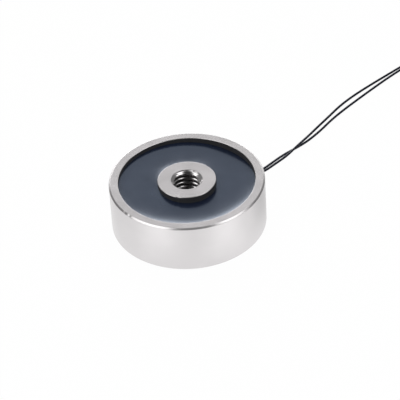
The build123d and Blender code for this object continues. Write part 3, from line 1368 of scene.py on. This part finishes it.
@dataclass(frozen=True)
class Studio:
    """The pale floor, the soft light and the camera."""

    target_height: float
    elevation: float = 37.878
    distance: float = 379.61
    pan: float = -0.343
    tilt: float = 0.62
    roll: float = -3.83
    focal_pixels: float = 1984.4
    frame_pixels: float = 400.0
    sensor: float = 36.0
    floor_half: float = 900.0
    floor_colour: Colour = (0.88, 0.88, 0.89)
    white_share: float = 0.983
    # Painted pools of light and shade on the floor, seen only in reflections.
    pools: tuple[Pool, ...] = (
        Pool(-15.0, -24.0, 16.0, 0.25),
        Pool(15.0, -20.0, 14.0, 0.24),
        Pool(22.0, 3.0, 14.0, -0.3),
        Pool(-24.0, 2.0, 16.0, -0.1),
    )
    covered_radius: float = 13.0
    softboxes: tuple[Softbox, ...] = (
        Softbox("left_softbox", -66.0, 50.0, 620.0, 520.0, 420.0, 1.5),
        Softbox("right_softbox", 72.0, 52.0, 620.0, 420.0, 420.0, 1.5),
    )
    bright: float = 6.2
    ceiling: float = 0.6
    pale: float = 0.85
    dim: float = 0.24
    gap: float = 0.9
    behind_limits: Limits = (-0.15, 0.15)
    horizon_limits: Limits = (0.25, 0.53)
    horizon_depth: Limits = (0.55, 0.8)
    skyline_limits: Limits = (0.0, 0.05)
    ceiling_limits: Limits = (0.61, 0.75)
    overhead_limits: Limits = (0.93, 0.985)
    right_limits: Limits = (0.25, 0.55)
    left_limits: Limits = (-0.58, -0.38)
    clip_start: float = 0.01
    covered_edge: float = 2.0
    floor_height: float = -0.02

    def add_camera(self) -> None:
        """Sets the camera where the photograph was taken from."""
        data = bpy.data.cameras.new("camera")
        data.sensor_width = self.sensor
        data.lens = self.focal_pixels / self.frame_pixels * self.sensor
        data.clip_start = self.clip_start
        camera = add_object("camera", data)
        rise = radians(self.elevation)
        away = -self.distance * cos(rise)
        height = self.target_height + self.distance * sin(rise)
        turn = Matrix.Rotation(pi / 2.0 - rise, 4, "X")
        turn = turn @ Matrix.Rotation(radians(self.pan), 4, "Y")
        turn = turn @ Matrix.Rotation(-radians(self.tilt), 4, "X")
        turn = turn @ Matrix.Rotation(radians(self.roll), 4, "Z")
        camera.matrix_world = Matrix.Translation((0.0, away * MM, height * MM)) @ turn
        bpy.context.scene.camera = camera

    def add_light(self, box: Softbox) -> None:
        """Hangs one softbox that looks at the object.

        Args:
            box: The softbox.
        """
        data = bpy.data.lights.new(box.name, "AREA")
        data.shape = "RECTANGLE"
        data.size = box.width * MM
        data.size_y = box.height * MM
        data.energy = box.glow * pi * box.width * box.height * MM**2
        light = add_object(box.name, data)
        rise = radians(box.elevation)
        place = Vector(polar(box.azimuth - 90.0, box.distance * cos(rise), box.distance * sin(rise))) * MM
        turn = (-place).to_track_quat("-Z", "Y").to_matrix().to_4x4()
        light.matrix_world = Matrix.Translation(place) @ turn

    def add_world(self) -> None:
        """Surrounds the object with plain light and shows white to the camera."""
        world = bpy.data.worlds.new("studio")
        bpy.context.scene.world = world
        shader = Shader(world)
        seen = shader.add("ShaderNodeLightPath", output="Is Camera Ray")
        x, y, z = shader.split(shader.add("ShaderNodeTexCoord", output="Generated"))
        horizon = (1.0 - z.ease(self.horizon_limits)) * y.ease(self.horizon_depth)
        wall = self.pale - self.dim + horizon * self.bright + z.ease(self.ceiling_limits) * self.ceiling
        sides = (1.0 - x.ease(self.right_limits)) * x.ease(self.left_limits)
        overhead = 1.0 - self.gap * z.ease(self.overhead_limits)
        lit = y.ease(self.behind_limits) * wall * sides * z.ease(self.skyline_limits)
        strength = seen + (1.0 - seen) * ((self.dim + lit) * overhead)
        room = shader.add("ShaderNodeBackground", {"Color": WHITE, "Strength": strength})
        shader.node("ShaderNodeOutputWorld", {0: room})

    def distance_to(self, shader: Shader, x: float, y: float) -> Signal:
        """The distance in metres from a place on the floor, given in millimetres."""
        sockets = {0: shader.place(), 1: (x * MM, y * MM, 0.0)}
        return shader.add("ShaderNodeVectorMath", sockets, "Value", operation="DISTANCE")

    def add_floor(self) -> None:
        """Lays the floor: white to the camera and in reflections, with painted pools of light and shade
        seen only in reflections, and with the object's soft shadow.
        """
        material = bpy.data.materials.new("studio_floor")
        shader = Shader(material)
        rays = ("Is Camera Ray", "Is Glossy Ray", "Is Transmission Ray")
        seen, mirrored, cleared = (shader.add("ShaderNodeLightPath", output=kind) for kind in rays)
        edge = (self.covered_radius * MM, (self.covered_radius + self.covered_edge) * MM)
        mirrored = mirrored * self.distance_to(shader, 0.0, 0.0).ease(edge)
        # Painted reflections: the pools brighten or dull the floor's glow for glossy rays only.
        strength = 1.0
        for pool in self.pools:
            near = 1.0 - self.distance_to(shader, pool.x, pool.y).ease((0.0, pool.radius * MM))
            strength = strength + mirrored * pool.glow * near
        share = (seen + mirrored + cleared).at_most(1.0) * self.white_share
        plain = shader.add("ShaderNodeBsdfDiffuse", {"Color": (*self.floor_colour, 1.0)})
        white = shader.add("ShaderNodeEmission", {"Color": WHITE, "Strength": strength})
        mixed = shader.add("ShaderNodeMixShader", {0: share, 1: plain, 2: white})
        shader.node("ShaderNodeOutputMaterial", {0: mixed})
        maker = MeshMaker("floor")
        half = self.floor_half
        corners = ((-half, -half), (half, -half), (half, half), (-half, half))
        maker.face([maker.vertex((x, y, self.floor_height)) for x, y in corners])
        maker.make([material])

    def build(self) -> None:
        """Sets up the whole studio."""
        self.add_camera()
        self.add_world()
        self.add_floor()
        for box in self.softboxes:
            self.add_light(box)
        bpy.context.scene.view_settings.view_transform = "Standard"


RESIN_RECESS = 1.3
BUBBLE_MARGIN = 1.6
LEAD_AXIS = 0.24
LEAVE_A = 99.0
LEAVE_B = 75.0
ROUTE_A: list[Point] = [
    (15.15, 10.55, 3.0),
    (17.6, 14.05, 2.15),
    (19.9, 17.3, 1.25),
    (22.2, 19.9, 0.5),
    (24.95, 22.4, LEAD_AXIS),
    (27.95, 25.75, LEAD_AXIS),
    (30.45, 29.1, LEAD_AXIS),
    (33.3, 32.3, LEAD_AXIS),
    (36.55, 35.6, LEAD_AXIS),
    (40.3, 39.35, LEAD_AXIS),
    (44.3, 43.2, LEAD_AXIS),
    (48.4, 46.75, LEAD_AXIS),
]
ROUTE_B: list[Point] = [
    (15.55, 9.85, 3.15),
    (17.9, 12.9, 2.5),
    (20.2, 15.85, 1.85),
    (22.1, 18.85, 1.4),
    (23.8, 21.45, 1.0),
    (25.4, 24.1, 0.4),
    (27.6, 27.2, LEAD_AXIS),
    (30.15, 30.45, LEAD_AXIS),
    (32.8, 33.95, LEAD_AXIS),
    (36.0, 37.25, LEAD_AXIS),
    (40.2, 40.9, LEAD_AXIS),
    (44.65, 44.55, LEAD_AXIS),
    (48.4, 47.3, 0.5),
    (51.0, 48.9, 1.15),
]
TAIL_A: list[Point] = [
    (58.6, 51.4, 0.6),
    (61.2, 52.1, LEAD_AXIS),
    (63.6, 52.45, LEAD_AXIS),
]
TAIL_B: list[Point] = [
    (59.6, 49.55, 1.25),
    (62.0, 48.85, 0.4),
    (64.2, 48.0, LEAD_AXIS),
    (66.0, 47.0, LEAD_AXIS),
]


def dress_solids() -> None:
    """Gives the solids inside the cup their materials."""
    finishes = {"bobbin": BOBBIN, "coil_tape": TAPE, "coil_winding": EnamelledWire()}
    for side in Side:
        finishes[f"lead_{side.letter}_core"] = TINNED
        finishes[f"solder_joint_{side.letter}"] = SOLDER
        finishes[f"joint_sleeve_{side.letter}"] = SLEEVE
    for name, finish in finishes.items():
        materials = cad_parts[name].data.materials
        materials.clear()
        materials.append(finish.material())
        log.info("%s: %s", name, finish.name)


def main() -> None:
    """Builds the magnet piece by piece and sets up the studio."""
    logging.basicConfig(level=logging.INFO, format="%(name)s %(message)s")
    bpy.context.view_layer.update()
    _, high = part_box("yoke")
    resin_low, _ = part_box("potting")
    yoke = Yoke(
        outer_radius=high[0] / MM,
        height=high[2] / MM,
        rim_inner_radius=-resin_low[0] / MM,
        floor=resin_low[2] / MM,
    )
    rim_edge = yoke.outer_radius - yoke.chamfer / 2.0
    yoke.build([
        Nick(-144.0, rim_edge, yoke.height, 0.3, 0.05),
        Nick(-139.0, rim_edge, yoke.height, 0.25, 0.05),
        Nick(-110.0, yoke.pole_radius, yoke.height, 0.22, 0.1),
    ])
    potting = Potting(yoke.pole_radius, yoke.rim_inner_radius, yoke.floor, yoke.height - RESIN_RECESS)
    potting.build()
    HolePlug(yoke).build()
    bubble_ring = (potting.inner_radius + BUBBLE_MARGIN, potting.outer_radius - BUBBLE_MARGIN)
    SurfaceBubbles(*bubble_ring, potting.level).build()
    coil = SpareCoil()
    for lead in (
        Lead(Side.A, ROUTE_A, TAIL_A, LEAVE_A, yoke, coil),
        Lead(Side.B, ROUTE_B, TAIL_B, LEAVE_B, yoke, coil),
    ):
        lead.declare(lead.build(), TinnedEnd(lead).build())
    CoilTie(coil).build()
    dress_solids()
    Studio(target_height=yoke.height).build()


if __name__ == "__main__":
    main()
